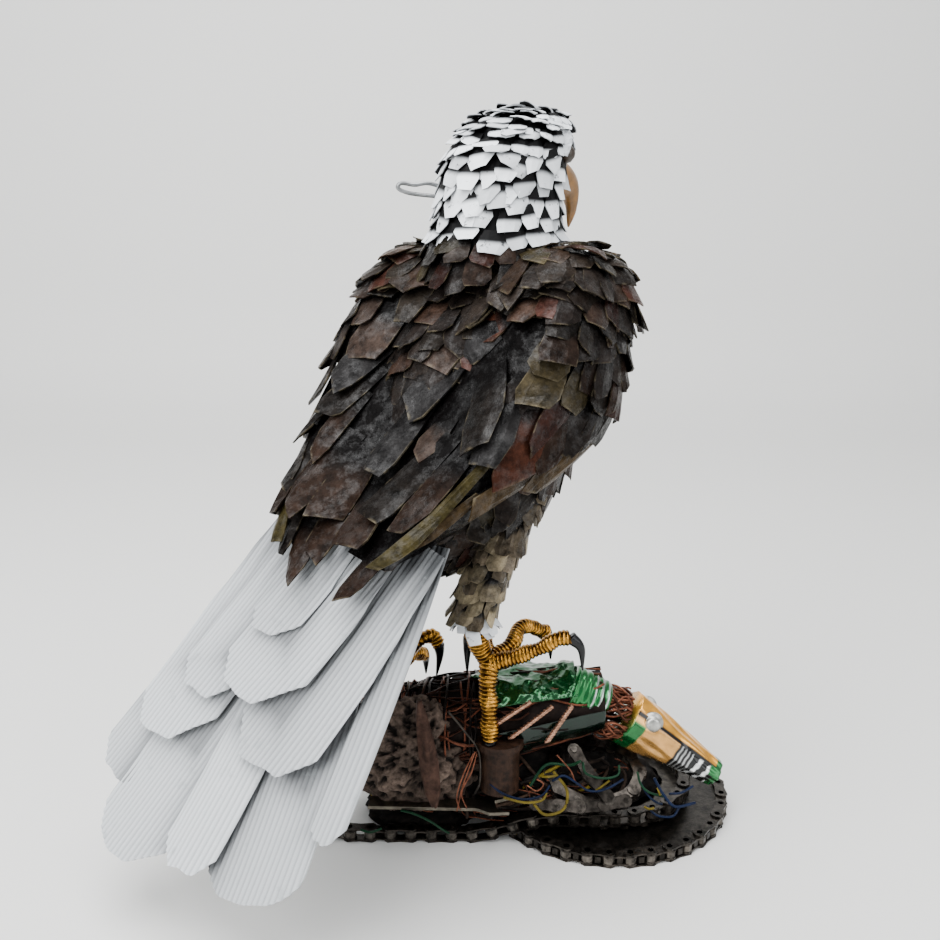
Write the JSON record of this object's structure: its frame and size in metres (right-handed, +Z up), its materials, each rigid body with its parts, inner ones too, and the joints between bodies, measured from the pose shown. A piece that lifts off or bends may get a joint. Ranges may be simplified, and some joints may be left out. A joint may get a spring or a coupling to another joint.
{
  "type": "eagle sculpture",
  "caption": "Scrap-metal bald eagle with folded wings standing on a drink-can fish over a plinth of bicycle chain and chainrings.",
  "frame": {"origin": "centre of the underside of the bounding box, on the floor", "axes": "+X along the plinth towards the fish's head, +Y away from the picture's camera, +Z up; the eagle looks 38 degrees from +Y towards +X"},
  "size_m": [0.379, 0.2792, 0.438],
  "materials": {
    "dark_feather": "dark brown patinated sheet, semi-matt with worn edges",
    "white_feather": "matt white paint over sheet scraps",
    "white_sheet": "matt white paint over corrugated sheet",
    "gold_wire": "gold-coloured wire binding, satin",
    "black_claw": "black gloss enamel",
    "horn": "ochre, satin",
    "oiled_steel": "used bicycle steel with old oil",
    "bare_steel": "bare, slightly dull",
    "green_can": "green lacquered can sheet, crumpled",
    "amber_can": "amber lacquered can sheet",
    "copper": "old copper wire",
    "slag": "rough cinder, dull",
    "rusty_tin": "rusty tin",
    "spool_wood": "dark stained wood",
    "yellow_wire": "insulated wire",
    "green_wire": "insulated wire",
    "blue_wire": "insulated wire"
  },
  "bodies": {
    "root": {"beak": "horn", "blue_wire": "blue_wire", "body": "dark_feather", "chainring_chain": "oiled_steel", "draped_chain": "oiled_steel", "fin_rod_1": "copper", "fin_rod_2": "copper", "fin_rod_3": "copper", "fish_body": "green_can", "fish_collar": "green_can", "fish_gill": "copper", "fish_head": "amber_can", "fish_left_eye": "bare_steel", "fish_right_eye": "bare_steel", "green_wire": "green_wire", "head": "white_feather", "large_chainring": "oiled_steel", "left_ankle_feathers": "white_feather", "left_eye": "horn", "left_foot": "gold_wire", "left_hind_claw": "black_claw", "left_inner_claw": "black_claw", "left_middle_claw": "black_claw", "left_outer_claw": "black_claw", "left_wing": "dark_feather", "long_chain": "oiled_steel", "neck_wire_loop": "bare_steel", "right_ankle_feathers": "white_feather", "right_eye": "horn", "right_foot": "gold_wire", "right_hind_claw": "black_claw", "right_inner_claw": "black_claw", "right_middle_claw": "black_claw", "right_outer_claw": "black_claw", "right_wing": "dark_feather", "scrap_heap": "oiled_steel", "slag_lump": "slag", "small_sprocket": "oiled_steel", "spanner": "bare_steel", "tail_feather_1": "white_sheet", "tail_feather_10": "white_sheet", "tail_feather_2": "white_sheet", "tail_feather_3": "white_sheet", "tail_feather_4": "white_sheet", "tail_feather_5": "white_sheet", "tail_feather_6": "white_sheet", "tail_feather_7": "white_sheet", "tail_feather_8": "white_sheet", "tail_feather_9": "white_sheet", "tin_strip": "rusty_tin", "wooden_spool": "spool_wood", "yellow_wire": "yellow_wire"}
  },
  "joints": []
}
